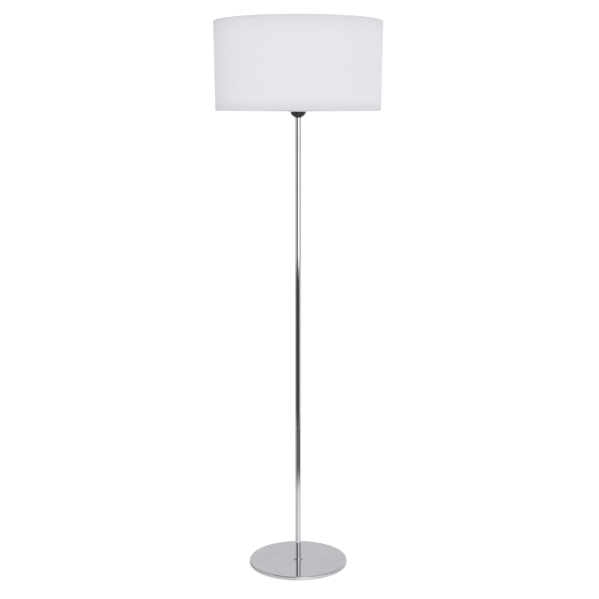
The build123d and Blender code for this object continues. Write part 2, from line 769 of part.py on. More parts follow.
ring_bore = skirt_thread_radius + thread_swell + turn_gap
ring_thread = skirt_thread_radius + turn_gap
lowest_thread = clamp_bottom + clamp_thread_entry
turns_below = ceil((lowest_thread - thread_start) / skirt_thread_pitch)
ring_thread_start = thread_start + turns_below * skirt_thread_pitch
clamp_top = clamp_bottom + clamp_height
ring_turns = int((clamp_top - ring_thread_start) / skirt_thread_pitch)
ring_thread_end = ring_thread_start + ring_turns * skirt_thread_pitch
with BuildPart() as shade_clamp_ring:
    with BuildSketch(Plane.XZ):
        with BuildLine():
            Polyline(
                (ring_thread, ring_thread_start),
                (ring_bore, ring_thread_start),
                (ring_bore, clamp_bottom),
                (clamp_radius, clamp_bottom),
                (clamp_radius, clamp_bottom + clamp_plate),
                (clamp_collar_radius, clamp_bottom + clamp_plate),
                (clamp_collar_radius, clamp_top),
                (ring_bore, clamp_top),
                (ring_bore, ring_thread_end),
                (ring_thread, ring_thread_end),
            )
            wave(ring_thread, ring_thread_start, skirt_thread_pitch, ring_turns, thread_swell)
        make_face()
    revolve(axis=Axis.Z)
    with BuildSketch(Plane.XY.offset(clamp_bottom)):
        with PolarLocations(clamp_radius, clamp_grips):
            Circle(clamp_grip_radius)
    extrude(amount=clamp_plate, mode=Mode.SUBTRACT)
keep("shade_clamp_ring", shade_clamp_ring.part)

# ---------------------------------------------------------------- shade

shade_bottom_radius = shade_bottom_diameter / 2
shade_top_radius = shade_top_diameter / 2
shade_slope = (shade_top_radius - shade_bottom_radius) / shade_height
liner_inset = fabric_thickness + layer_gap
wire_inset = liner_inset + liner_thickness + layer_gap + frame_wire / 2
hem_inset = wire_inset + frame_wire / 2 + layer_gap
low_wire_z = shade_bottom + liner_inset + frame_wire / 2
high_wire_z = shade_top - liner_inset - frame_wire / 2


def wall_radius(height):
    """The shade's outer radius at a height."""
    return shade_bottom_radius + shade_slope * (height - shade_bottom)


low_wire_radius = wall_radius(low_wire_z) - wire_inset
high_wire_radius = wall_radius(high_wire_z) - wire_inset

arm_inner_z = centre_ring_bottom + centre_ring_height / 2
arm_outer_z = low_wire_z
arm_inner_r = centre_ring_radius - arm_weld
arm_outer_r = low_wire_radius - frame_wire / 2 + arm_weld
slit_bottom = arm_outer_z - arm_wire / 2 - arm_slit_gap

# The cover is one skin outside the liner, turned in over both wires and along their inner side.
low_hem = shade_bottom_radius - hem_inset
high_hem = shade_top_radius - hem_inset
with BuildPart() as shade_cover:
    with BuildSketch(Plane.XZ):
        with BuildLine():
            Polyline(
                (shade_bottom_radius, shade_bottom),
                (shade_top_radius, shade_top),
                (high_hem - fabric_thickness, shade_top),
                (high_hem - fabric_thickness, shade_top - hem_return),
                (high_hem, shade_top - hem_return),
                (high_hem, shade_top - fabric_thickness),
                (shade_top_radius - fabric_thickness, shade_top - fabric_thickness),
                (shade_bottom_radius - fabric_thickness, shade_bottom + fabric_thickness),
                (low_hem, shade_bottom + fabric_thickness),
                (low_hem, shade_bottom + hem_return),
                (low_hem - fabric_thickness, shade_bottom + hem_return),
                (low_hem - fabric_thickness, shade_bottom),
                close=True,
            )
        make_face()
    revolve(axis=Axis.Z)
    with BuildSketch(Plane.XY.offset(slit_bottom)):
        with PolarLocations(low_hem, arm_count, start_angle=arm_start_angle):
            Rectangle(4 * fabric_thickness, arm_wire + 2 * arm_slit_gap)
    extrude(amount=shade_bottom + hem_return - slit_bottom, mode=Mode.SUBTRACT)
keep("shade_cover", shade_cover.part)

liner_low = shade_bottom + liner_inset
liner_high = shade_top - liner_inset
liner_low_radius = wall_radius(liner_low) - liner_inset
liner_high_radius = wall_radius(liner_high) - liner_inset
with BuildPart() as shade_liner:
    with BuildSketch(Plane.XZ):
        with BuildLine():
            Polyline(
                (liner_low_radius, liner_low),
                (liner_high_radius, liner_high),
                (liner_high_radius - liner_thickness, liner_high),
                (liner_low_radius - liner_thickness, liner_low),
                close=True,
            )
        make_face()
    revolve(axis=Axis.Z)
keep("shade_liner", shade_liner.part)

for wire_name, wire_radius, wire_z in (
    ("shade_bottom_wire", low_wire_radius, low_wire_z),
    ("shade_top_wire", high_wire_radius, high_wire_z),
):
    with BuildPart() as wire:
        with BuildSketch(Plane.XZ):
            with Locations((wire_radius, wire_z)):
                Circle(frame_wire / 2)
        revolve(axis=Axis.Z)
    keep(wire_name, wire.part)

centre_ring_top = centre_ring_bottom + centre_ring_height
ring_hole = skirt_thread_radius + thread_swell + centre_ring_gap
with BuildPart() as centre_ring:
    with BuildSketch(Plane.XZ):
        with BuildLine():
            Polyline(
                (ring_hole, centre_ring_bottom),
                (centre_ring_radius, centre_ring_bottom),
                (centre_ring_radius, centre_ring_top),
                (centre_ring_radius - centre_ring_wall, centre_ring_top),
                (centre_ring_radius - centre_ring_wall, centre_ring_bottom + centre_ring_plate),
                (ring_hole, centre_ring_bottom + centre_ring_plate),
                close=True,
            )
        make_face()
    revolve(axis=Axis.Z)
keep("centre_ring", centre_ring.part)

for arm_number, arm_angle in enumerate(arm_angles, start=1):
    out_x = cos(radians(arm_angle))
    out_y = sin(radians(arm_angle))
    arm_from = (arm_inner_r * out_x, arm_inner_r * out_y, arm_inner_z)
    arm_to = (arm_outer_r * out_x, arm_outer_r * out_y, arm_outer_z)
    with BuildPart() as shade_arm:
        with BuildLine():
            arm_line = Line(arm_from, arm_to)
        with BuildSketch(Plane(origin=arm_from, z_dir=arm_line % 0)):
            Circle(arm_wire / 2)
        extrude(amount=arm_line.length)
    keep(f"shade_arm_{arm_number}", shade_arm.part)

print("heights:", "pole top", pole_top, "shoulder", shoulder, "shade", shade_bottom, shade_top)
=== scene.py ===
import math

import bmesh
import bpy
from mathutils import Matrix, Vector


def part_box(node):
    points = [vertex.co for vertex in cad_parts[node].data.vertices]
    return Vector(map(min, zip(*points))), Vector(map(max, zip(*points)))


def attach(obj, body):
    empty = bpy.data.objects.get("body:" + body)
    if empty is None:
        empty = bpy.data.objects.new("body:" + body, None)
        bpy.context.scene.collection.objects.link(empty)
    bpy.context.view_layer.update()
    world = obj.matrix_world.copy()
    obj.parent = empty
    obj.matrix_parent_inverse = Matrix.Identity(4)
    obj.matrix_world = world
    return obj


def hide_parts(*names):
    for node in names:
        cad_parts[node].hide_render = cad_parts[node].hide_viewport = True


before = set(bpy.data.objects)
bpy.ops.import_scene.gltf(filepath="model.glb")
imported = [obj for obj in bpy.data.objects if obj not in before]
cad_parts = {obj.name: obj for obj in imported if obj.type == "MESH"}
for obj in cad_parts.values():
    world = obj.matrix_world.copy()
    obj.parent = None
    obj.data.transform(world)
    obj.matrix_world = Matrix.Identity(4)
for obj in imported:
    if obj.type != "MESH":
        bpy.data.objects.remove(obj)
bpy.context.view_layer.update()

print("frame loaded:", len(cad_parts), "nodes")

mm = 0.001


# small helpers

def makeObject(name, mesh, material):
    obj = bpy.data.objects.new(name, mesh)
    bpy.context.scene.collection.objects.link(obj)
    mesh.materials.clear()
    mesh.materials.append(material)
    return obj


def pieceFrom(work, name, material):
    # a smooth-shaded object from a bmesh, which is used up
    mesh = bpy.data.meshes.new(name)
    work.to_mesh(mesh)
    work.free()
    for face in mesh.polygons:
        face.use_smooth = True
    return makeObject(name, mesh, material)


def giveWall(obj, thick, side):
    wall = obj.modifiers.new("thickness", "SOLIDIFY")
    wall.thickness = thick
    wall.offset = side
    return wall


def span(node):
    # lowest and highest corner of a CAD node, as vectors
    low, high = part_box(node)
    return Vector(low), Vector(high)


def halfWidth(low, high):
    return 0.5 * (high.x - low.x)


def giveMaterial(material, *nodes):
    # the CAD node keeps its mesh and gets a better finish
    for node in nodes:
        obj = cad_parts[node]
        obj.data.materials.clear()
        obj.data.materials.append(material)


# shader helpers

def nodeGroup(name, inputs, outputs):
    group = bpy.data.node_groups.new(name, "ShaderNodeTree")
    for label, kind, value in inputs:
        socket = group.interface.new_socket(label, in_out="INPUT", socket_type=kind)
        if value is not None:
            socket.default_value = value
    for label, kind in outputs:
        group.interface.new_socket(label, in_out="OUTPUT", socket_type=kind)
    return group, group.nodes.new("NodeGroupInput"), group.nodes.new("NodeGroupOutput")


def addNode(tree, kind, values=None, **settings):
    node = tree.nodes.new(kind)
    for key, value in settings.items():
        setattr(node, key, value)
    for key, value in (values or {}).items():
        node.inputs[key].default_value = value
    return node


def feed(tree, socket, value):
    # a socket takes a plain value or a link
    if isinstance(value, (tuple, list, int, float)):
        socket.default_value = value
    else:
        tree.links.new(value, socket)


def mathNode(tree, operation, first, second=None, clamp=False):
    node = addNode(tree, "ShaderNodeMath", operation=operation, use_clamp=clamp)
    feed(tree, node.inputs[0], first)
    if second is not None:
        feed(tree, node.inputs[1], second)
    return node.outputs[0]


def mapRange(tree, value, low, high, outLow=0.0, outHigh=1.0, smoothStep=False):
    node = addNode(tree, "ShaderNodeMapRange", {1: low, 2: high, 3: outLow, 4: outHigh})
    if smoothStep:
        node.interpolation_type = "SMOOTHSTEP"
    tree.links.new(value, node.inputs[0])
    return node.outputs[0]


def mixColour(tree, factor, first, second):
    node = addNode(tree, "ShaderNodeMix", data_type="RGBA")
    feed(tree, node.inputs[0], factor)
    feed(tree, node.inputs[6], first)
    feed(tree, node.inputs[7], second)
    return node.outputs[2]


def newMaterial(name):
    material = bpy.data.materials.new(name)
    material.use_nodes = True
    tree = material.node_tree
    return material, tree, tree.nodes["Principled BSDF"]


def objectVector(tree):
    return addNode(tree, "ShaderNodeTexCoord").outputs["Object"]


def placeGroup(tree, group, vector, values):
    node = addNode(tree, "ShaderNodeGroup", node_tree=group)
    for key, value in values.items():
        node.inputs[key].default_value = value
    tree.links.new(vector, node.inputs["Vector"])
    return node


def wornShare(tree, marks):
    # smears and dust together, as one share from 0 to 1
    return mathNode(tree, "ADD", marks.outputs["Smear"], marks.outputs["Dust"], clamp=True)


def bump(tree, shader, height, strength, distance):
    node = addNode(tree, "ShaderNodeBump", {"Strength": strength, "Distance": distance})
    tree.links.new(height, node.inputs["Height"])
    tree.links.new(node.outputs["Normal"], shader.inputs["Normal"])


# effects that several finishes share, with how much of each noise shows

touch = {"smearFrom": 0.45, "smearTo": 0.72, "dustFrom": 0.58, "dustTo": 0.74}
thread = {
    "bend": 60.0,  # scale of the noise that bends the threads
    "swing": 1.2 * mm,
    "crossing": 0.4,  # height added where two threads cross
    "slubAlong": 40.0,
    "slubAcross": 1100.0,
    "midHeight": 0.6,
    # how much painted shade the weave's hollows get
    "hollowShade": 0.35,
}


def makeHandling():
    # smears and dust: two noises, the larger one saying where things were touched
    group, given, result = nodeGroup(
        "handling",
        [("Vector", "NodeSocketVector", None), ("Patch", "NodeSocketFloat", 14.0),
         ("Speck", "NodeSocketFloat", 700.0), ("Cover", "NodeSocketFloat", 0.5)],
        [("Smear", "NodeSocketFloat"), ("Dust", "NodeSocketFloat")],
    )
    patchLook = {"Detail": 5.0, "Roughness": 0.6, "Distortion": 0.6}
    speckLook = {"Detail": 2.0, "Roughness": 0.5}
    noises = (
        ("Smear", "Patch", patchLook, touch["smearFrom"], touch["smearTo"]),
        ("Dust", "Speck", speckLook, touch["dustFrom"], touch["dustTo"]),
    )
    for name, size, look, low, high in noises:
        noise = addNode(group, "ShaderNodeTexNoise", look)
        group.links.new(given.outputs["Vector"], noise.inputs["Vector"])
        group.links.new(given.outputs[size], noise.inputs["Scale"])
        mask = mapRange(group, noise.outputs["Fac"], low, high, smoothStep=True)
        covered = mathNode(group, "MULTIPLY", mask, given.outputs["Cover"])
        group.links.new(covered, result.inputs[name])
    return group


def makeGrain():
    # the fine skin of moulded plastic, powder coat or cast metal, by its scale
    group, given, result = nodeGroup(
        "grain",
        [("Vector", "NodeSocketVector", None), ("Scale", "NodeSocketFloat", 900.0),
         ("Drift", "NodeSocketFloat", 20.0)],
        [("Height", "NodeSocketFloat"), ("Tone", "NodeSocketFloat")],
    )
    for name, size, roughness in (("Height", "Scale", 0.55), ("Tone", "Drift", 0.5)):
        noise = addNode(group, "ShaderNodeTexNoise", {"Detail": 3.0, "Roughness": roughness})
        group.links.new(given.outputs["Vector"], noise.inputs["Vector"])
        group.links.new(given.outputs[size], noise.inputs["Scale"])
        group.links.new(noise.outputs["Fac"], result.inputs[name])
    return group


def threadCounts(group, given):
    # how many threads in, each way, with the threads bent a little
    bend = addNode(group, "ShaderNodeTexNoise", {"Scale": thread["bend"], "Detail": 2.0})
    group.links.new(given.outputs["Vector"], bend.inputs["Vector"])
    split = addNode(group, "ShaderNodeSeparateXYZ")
    group.links.new(given.outputs["Vector"], split.inputs[0])
    offCentre = mathNode(group, "SUBTRACT", bend.outputs["Fac"], 0.5)
    swing = mathNode(group, "MULTIPLY", offCentre, thread["swing"])
    counts = []
    for axis in (0, 1):
        moved = mathNode(group, "ADD", split.outputs[axis], swing)
        counts.append(mathNode(group, "DIVIDE", moved, given.outputs["Pitch"]))
    return counts


def weaveHeight(group, counts):
    # rounded threads that go over and under by turns
    rounds = []
    for count in counts:
        wave = mathNode(group, "SINE", mathNode(group, "MULTIPLY", count, math.pi))
        rounds.append(mathNode(group, "ABSOLUTE", wave))
    steps = [mathNode(group, "FLOOR", count) for count in counts]
    parity = mathNode(group, "PINGPONG", mathNode(group, "ADD", steps[0], steps[1]), 1.0)
    over = mathNode(group, "MULTIPLY", rounds[0], parity)
    under = mathNode(group, "MULTIPLY", rounds[1], mathNode(group, "SUBTRACT", 1.0, parity))
    lower = mathNode(group, "MINIMUM", rounds[0], rounds[1])
    crossing = mathNode(group, "MULTIPLY", lower, thread["crossing"])
    return mathNode(group, "ADD", mathNode(group, "ADD", over, under), crossing)


def slubTone(group, given):
    # thicker stretches along single threads, each way
    along, across = thread["slubAlong"], thread["slubAcross"]
    tones = []
    for stretch in ((along, across, 1.0), (across, along, 1.0)):
        slub = addNode(group, "ShaderNodeTexNoise", {"Scale": 1.0, "Detail": 2.0})
        scaled = addNode(group, "ShaderNodeVectorMath", {1: stretch}, operation="MULTIPLY")
        group.links.new(given.outputs["Vector"], scaled.inputs[0])
        group.links.new(scaled.outputs[0], slub.inputs["Vector"])
        tones.append(slub.outputs["Fac"])
    mean = mathNode(group, "MULTIPLY", mathNode(group, "ADD", tones[0], tones[1]), 0.5)
    offCentre = mathNode(group, "SUBTRACT", mean, 0.5)
    return mathNode(group, "MULTIPLY", offCentre, given.outputs["Slub"])


def makeWeave():
    # plain weave on a UV map in metres: its height, and a tone of slubs with painted shade in its
    # hollows
    group, given, result = nodeGroup(
        "plainWeave",
        [("Vector", "NodeSocketVector", None), ("Pitch", "NodeSocketFloat", 0.0007),
         ("Slub", "NodeSocketFloat", 0.5)],
        [("Height", "NodeSocketFloat"), ("SlubAndHollowShade", "NodeSocketFloat")],
    )
    height = weaveHeight(group, threadCounts(group, given))
    group.links.new(height, result.inputs["Height"])
    # painted shade: lower places of the weave get a darker tone, added to the slub tone
    aboveMid = mathNode(group, "SUBTRACT", height, thread["midHeight"])
    depth = mathNode(group, "MULTIPLY", aboveMid, thread["hollowShade"])
    slubs = mathNode(group, "ADD", 0.5, slubTone(group, given))
    group.links.new(mathNode(group, "ADD", slubs, depth, clamp=True), result.inputs["SlubAndHollowShade"])
    return group


handling = makeHandling()
grain = makeGrain()
weave = makeWeave()


# finishes

def chromePlate():
    look = {"clean": (0.82, 0.82, 0.835, 1), "smeared": (0.74, 0.74, 0.755, 1),
            "rough": (0.028, 0.11), "marks": {"Patch": 22.0, "Speck": 900.0, "Cover": 0.55},
            "skin": {"Scale": 150.0, "Drift": 9.0}, "bump": 0.12, "ripple": 0.02 * mm}
    material, tree, shader = newMaterial("chromePlate")
    vector = objectVector(tree)
    marks = placeGroup(tree, handling, vector, look["marks"])
    skin = placeGroup(tree, grain, vector, look["skin"])
    colour = mixColour(tree, marks.outputs["Smear"], look["clean"], look["smeared"])
    tree.links.new(colour, shader.inputs["Base Color"])
    rough = mapRange(tree, wornShare(tree, marks), 0.0, 1.0, *look["rough"])
    tree.links.new(rough, shader.inputs["Roughness"])
    shader.inputs["Metallic"].default_value = 1.0
    bump(tree, shader, skin.outputs["Height"], look["bump"], look["ripple"])
    return material


def shadeFabric():
    # dark and light are the weave's tones; hem is painted shade laid on toward the top and bottom rims
    look = {"light": (0.868, 0.863, 0.886, 1), "dark": (0.775, 0.768, 0.795, 1),
            "hem": (0.72, 0.715, 0.74, 1), "hemShare": 0.9, "rough": (0.95, 0.82),
            "threads": {"Pitch": 0.85 * mm, "Slub": 0.9}, "sheen": 0.15, "sheenRough": 0.5,
            "specular": 0.25, "bump": 0.5, "relief": 0.22 * mm}
    material, tree, shader = newMaterial("shadeFabric")
    uv = addNode(tree, "ShaderNodeUVMap", uv_map="cloth").outputs["UV"]
    cloth = placeGroup(tree, weave, uv, look["threads"])
    # painted shade: darker toward the top and bottom rims, read from the cloth's attribute and mixed
    # over the weave
    shadeBand = addNode(tree, "ShaderNodeAttribute", attribute_name="hemBand")
    colour = mixColour(tree, cloth.outputs["SlubAndHollowShade"], look["dark"], look["light"])
    bandShade = mathNode(tree, "MULTIPLY", shadeBand.outputs["Fac"], look["hemShare"])
    tree.links.new(mixColour(tree, bandShade, colour, look["hem"]), shader.inputs["Base Color"])
    rough = mapRange(tree, cloth.outputs["SlubAndHollowShade"], 0.0, 1.0, *look["rough"])
    tree.links.new(rough, shader.inputs["Roughness"])
    shader.inputs["Sheen Weight"].default_value = look["sheen"]
    shader.inputs["Sheen Roughness"].default_value = look["sheenRough"]
    shader.inputs["Specular IOR Level"].default_value = look["specular"]
    bump(tree, shader, cloth.outputs["Height"], look["bump"], look["relief"])
    return material


plainSkin = {
    "marks": {"Patch": 30.0, "Speck": 1200.0, "Cover": 0.4},
    "drift": 24.0,
    "bump": 0.35,
    "coatRough": 0.08,
    "softDepth": 4 * mm,  # how far light spreads in an opal or soft body
}


def plainFinish(name, light, dark, rough, scale, relief, metallic=0.0, coat=0.0, specular=0.5,
                subsurface=0.0):
    # moulded plastic, powder coat, plated or cast metal, by its values
    material, tree, shader = newMaterial(name)
    vector = objectVector(tree)
    skin = placeGroup(tree, grain, vector, {"Scale": scale, "Drift": plainSkin["drift"]})
    marks = placeGroup(tree, handling, vector, plainSkin["marks"])
    colour = mixColour(tree, skin.outputs["Tone"], (*dark, 1), (*light, 1))
    tree.links.new(colour, shader.inputs["Base Color"])
    worn = mapRange(tree, wornShare(tree, marks), 0.0, 1.0, *rough)
    tree.links.new(worn, shader.inputs["Roughness"])
    shader.inputs["Metallic"].default_value = metallic
    shader.inputs["Specular IOR Level"].default_value = specular
    if coat:
        shader.inputs["Coat Weight"].default_value = coat
        shader.inputs["Coat Roughness"].default_value = plainSkin["coatRough"]
    if subsurface:
        shader.inputs["Subsurface Weight"].default_value = subsurface
        shader.inputs["Subsurface Radius"].default_value = [plainSkin["softDepth"]] * 3
        shader.inputs["Subsurface Scale"].default_value = 1.0
    bump(tree, shader, skin.outputs["Height"], plainSkin["bump"], relief)
    return material


# name, lighter and darker tone, roughness clean and worn, scale of the grain, its relief
finishes = {
    "chrome": chromePlate(),
    "fabric": shadeFabric(),
    "black": plainFinish(
        "blackMoulding", (0.018, 0.018, 0.019), (0.009, 0.009, 0.01), (0.13, 0.24), 2600.0,
        0.01 * mm, coat=0.12, specular=0.4),
    "white": plainFinish(
        "whitePowder", (0.82, 0.82, 0.81), (0.76, 0.76, 0.75), (0.38, 0.5), 700.0, 0.05 * mm),
    "lining": plainFinish(
        "liningSheet", (0.86, 0.86, 0.855), (0.82, 0.82, 0.81), (0.48, 0.6), 1800.0, 0.03 * mm),
    "opal": plainFinish(
        "opalGlobe", (0.90, 0.90, 0.885), (0.87, 0.87, 0.855), (0.28, 0.4), 1500.0, 0.01 * mm,
        coat=0.2, subsurface=0.3),
    "bulbBody": plainFinish(
        "bulbBody", (0.85, 0.85, 0.84), (0.81, 0.81, 0.80), (0.3, 0.45), 1500.0, 0.02 * mm),
    "nickel": plainFinish(
        "nickelSheet", (0.72, 0.70, 0.66), (0.60, 0.58, 0.54), (0.2, 0.42), 500.0, 0.03 * mm,
        metallic=1.0),
    "zinc": plainFinish(
        "zincPlate", (0.66, 0.66, 0.64), (0.52, 0.53, 0.52), (0.26, 0.5), 400.0, 0.04 * mm,
        metallic=1.0),
    "brass": plainFinish(
        "turnedBrass", (0.80, 0.60, 0.28), (0.64, 0.46, 0.20), (0.22, 0.42), 420.0, 0.04 * mm,
        metallic=1.0),
    "bronze": plainFinish(
        "springBronze", (0.70, 0.50, 0.26), (0.56, 0.38, 0.18), (0.25, 0.45), 300.0, 0.03 * mm,
        metallic=1.0),
    "iron": plainFinish(
        "castIron", (0.085, 0.085, 0.09), (0.045, 0.045, 0.05), (0.6, 0.8), 260.0, 0.3 * mm,
        metallic=0.3),
    "foam": plainFinish(
        "footFoam", (0.045, 0.045, 0.047), (0.028, 0.028, 0.03), (0.85, 0.95), 600.0, 0.4 * mm),
    "ceramic": plainFinish(
        "glazedBlock", (0.84, 0.81, 0.74), (0.78, 0.75, 0.68), (0.15, 0.3), 300.0, 0.04 * mm,
        coat=0.4),
    "nylon": plainFinish(
        "glandNylon", (0.62, 0.62, 0.63), (0.54, 0.54, 0.55), (0.4, 0.55), 1200.0, 0.03 * mm),
    "sheath": plainFinish(
        "leadSheath", (0.75, 0.75, 0.74), (0.68, 0.68, 0.67), (0.4, 0.55), 900.0, 0.03 * mm),
    "brown": plainFinish(
        "liveBrown", (0.20, 0.09, 0.04), (0.14, 0.06, 0.03), (0.35, 0.5), 900.0, 0.02 * mm),
    "blue": plainFinish(
        "neutralBlue", (0.05, 0.16, 0.42), (0.03, 0.11, 0.32), (0.35, 0.5), 900.0, 0.02 * mm),
    "blackGlass": plainFinish(
        "blackGlass", (0.03, 0.03, 0.035), (0.02, 0.02, 0.024), (0.08, 0.2), 300.0, 0.02 * mm,
        coat=0.5),
    "board": plainFinish(
        "boardMask", (0.84, 0.84, 0.82), (0.78, 0.78, 0.76), (0.35, 0.5), 800.0, 0.03 * mm),
}

cadFinish = {
    "chrome": ("base_cover", "pole_collar", "lower_tube", "middle_tube", "upper_tube"),
    "iron": ("base_weight",),
    "foam": ("base_pad",),
    "zinc": ("foot_bolt", "foot_washer", "foot_plug", "lower_joint_nipple", "upper_joint_nipple",
             "holder_nipple", "lock_screw", "terminal_screws", "bulb_contact"),
    "brass": ("lower_joint_low_bush", "lower_joint_high_bush", "upper_joint_low_bush",
              "upper_joint_high_bush", "pole_top_bush", "contact_rivets", "live_terminal",
              "neutral_terminal"),
    "nylon": ("cord_gland",),
    "sheath": ("inner_lead",),
    "brown": ("live_core",),
    "blue": ("neutral_core",),
    "black": ("holder_cap", "holder_skirt", "shade_clamp_ring"),
    "ceramic": ("holder_block",),
    "nickel": ("screw_shell", "bulb_cap"),
    "bronze": ("centre_contact",),
    "blackGlass": ("bulb_insulator",),
    "bulbBody": ("bulb_housing",),
    "board": ("led_board",),
    "opal": ("bulb_globe",),
    "lining": ("shade_liner",),
    "white": ("shade_bottom_wire", "shade_top_wire", "centre_ring", "shade_arm_1", "shade_arm_2",
              "shade_arm_3"),
}
for finish, nodes in cadFinish.items():
    giveMaterial(finishes[finish], *nodes)
print("finishes given")


# fabric cover of the shade

coverLow, coverHigh = span("shade_cover")
wireLow, wireHigh = span("shade_bottom_wire")
coverRadius = halfWidth(coverLow, coverHigh)
wireRadius = halfWidth(wireLow, wireHigh)

cover = {
    "thick": 0.42 * mm,
    "around": 360,
    "up": 44,
    "pastWire": 1.2 * mm,  # lining and cloth outside the bottom wire
    "lap": 14 * mm,  # the cloth's end over its start, at the back
    "lapStep": 0.45 * mm,
    "lapRise": 4.0 * mm,  # run over which the end climbs onto the start
    "depth": 6.2 * mm,  # from the face in to the turned-in edge
    "bend": 1.1 * mm,
    "bendSteps": 4,
    "hemUp": 4.6 * mm,  # how far the turned-in edge runs behind each wire
    "slitGap": 0.4 * mm,  # round an arm, where the turned-in edge is cut for it
    "slitClear": 0.3,  # share of a column's width kept free beside a cut
    "shadeStepLow": 16 * mm,  # painted shade at the bottom: a step where the doubled cloth ends, and how far a painted darkening fades in from the rim
    "fadeLow": 34 * mm,
    "shadeStepHigh": 9 * mm,
    "shadeFadeHigh": 60 * mm,
    "shadeStepSoft": 1.5 * mm,
    "shadeFadePower": 1.6,
    "shadeFadeShare": 0.7,
    "shadeStepShare": 0.3,
    "waver": 0.12 * mm,
    "waves": ((3, 4), (7, -2)),  # times round and up the wall
    "inset": 0.06 * mm,
}


def bendIn(outside, edge, sign):
    # round the wire: along its inner side, past it, and out to the face of the shade
    bend = cover["bend"]
    quarter = [math.radians(90.0 * step / cover["bendSteps"]) for step in range(cover["bendSteps"] + 1)]
    inner = outside - cover["depth"]
    points = [(inner, edge + sign * cover["hemUp"] * share) for share in (1.0, 0.75, 0.5)]
    for angle in quarter:
        rise = bend - bend * math.sin(angle)
        points.append((inner + bend - bend * math.cos(angle), edge + sign * rise))
    points.append((0.5 * (inner + outside), edge))
    for angle in quarter:
        rise = bend - bend * math.cos(angle)
        points.append((outside - bend + bend * math.sin(angle), edge + sign * rise))
    return points


def coverRoute():
    # the cloth's section as (radius, height), from one turned-in edge to the other
    inset = cover["inset"]
    low = bendIn(wireRadius + cover["pastWire"] - inset, coverLow.z + inset, 1)
    high = bendIn(coverRadius - inset, coverHigh.z - inset, -1)
    foot, head = Vector(low[-1]), Vector(high[-1])
    face = [tuple(foot.lerp(head, step / cover["up"])) for step in range(1, cover["up"])]
    return low + face + high[::-1], len(low), len(high)


def routeRuns(route):
    # length along the section up to each point
    runs = [0.0]
    for first, second in zip(route, route[1:]):
        runs.append(runs[-1] + math.dist(first, second))
    return runs


def routeNormals(route):
    # outward direction at each point of the section
    ends = [route[0]] + route + [route[-1]]
    normals = []
    for before, after in zip(ends, ends[2:]):
        length = math.dist(before, after)
        normals.append(((after[1] - before[1]) / length, (before[0] - after[0]) / length))
    return normals


def armSlits(radius):
    # bearings of the arms, with the half width of each slit as an angle
    half = (halfWidth(*span("shade_arm_1")) + cover["slitGap"]) / radius
    slits = []
    for number in (1, 2, 3):
        low, high = span("shade_arm_%d" % number)
        middle = 0.5 * (low + high)
        slits.append(math.atan2(middle.y, middle.x) % math.tau)
    return slits, half


def coverTurns(whole, slits, half):
    # angles of the columns, with a column on each edge of each slit
    turns = [whole * column / cover["around"] for column in range(cover["around"] + 1)]
    cuts = []
    for bearing in slits:
        for turn in (bearing - math.pi / 2, bearing + 1.5 * math.pi):
            cuts.extend(edge for edge in (turn - half, turn + half) if 0 < edge < whole)
    clear = cover["slitClear"] * whole / cover["around"]
    kept = [turn for turn in turns[1:-1] if all(abs(turn - cut) > clear for cut in cuts)]
    return sorted([turns[0]] + kept + [turns[-1]] + cuts)


def lapLift(turn):
    # how far the cloth stands off, as its end climbs onto its start
    climb = (turn - math.tau) * coverRadius / cover["lapRise"] + 1.0
    climb = min(1.0, max(0.0, climb))
    return cover["lapStep"] * climb * climb * (3 - 2 * climb)


def waverAt(angle, height):
    # how far the wall sinks in, none at both edges
    swell = 1.0
    for around, up in cover["waves"]:
        swell *= math.sin(around * angle + up * height)
    return cover["waver"] * (0.5 + 0.5 * swell) * math.sin(math.pi * height)


def paintedEdgeShade(gap, shadeBand, fade):
    # painted shade: 1 at the rim, a small step at the end of the doubled cloth, 0 past the fade
    soft = max(0.0, 1.0 - gap / fade) ** cover["shadeFadePower"]
    bandShade = 1.0 - min(1.0, max(0.0, (gap - shadeBand) / cover["shadeStepSoft"]))
    return cover["shadeFadeShare"] * soft + cover["shadeStepShare"] * bandShade


def hemTone(z):
    # painted shade from whichever rim is nearer
    low = paintedEdgeShade(z - coverLow.z, cover["shadeStepLow"], cover["fadeLow"])
    high = paintedEdgeShade(coverHigh.z - z, cover["shadeStepHigh"], cover["shadeFadeHigh"])
    return max(low, high)


def coverColumns(work, route, turns, lowCount, highCount):
    # one column of points at each angle, from the back round to the lap
    shadeLayer = work.verts.layers.float["hemBand"]
    normals = routeNormals(route)
    tall = coverHigh.z - coverLow.z
    lastLow, firstHigh = lowCount // 2, len(route) - highCount // 2
    columns = []
    for turn in turns:
        angle = math.pi / 2 + turn
        lift = lapLift(turn)
        points = []
        for index, (radius, z) in enumerate(route):
            push = lift
            if lowCount <= index < len(route) - highCount:
                push -= waverAt(angle, (z - coverLow.z) / tall)
            out, rise = normals[index]
            away = radius + push * out
            place = (away * math.cos(angle), away * math.sin(angle), z + push * rise)
            vert = work.verts.new(place)
            # the turned-in cloth inside gets no painted shade
            turnedIn = index < lastLow or index >= firstHigh
            vert[shadeLayer] = 0.0 if turnedIn else hemTone(z)
            points.append(vert)
        columns.append(points)
    return columns


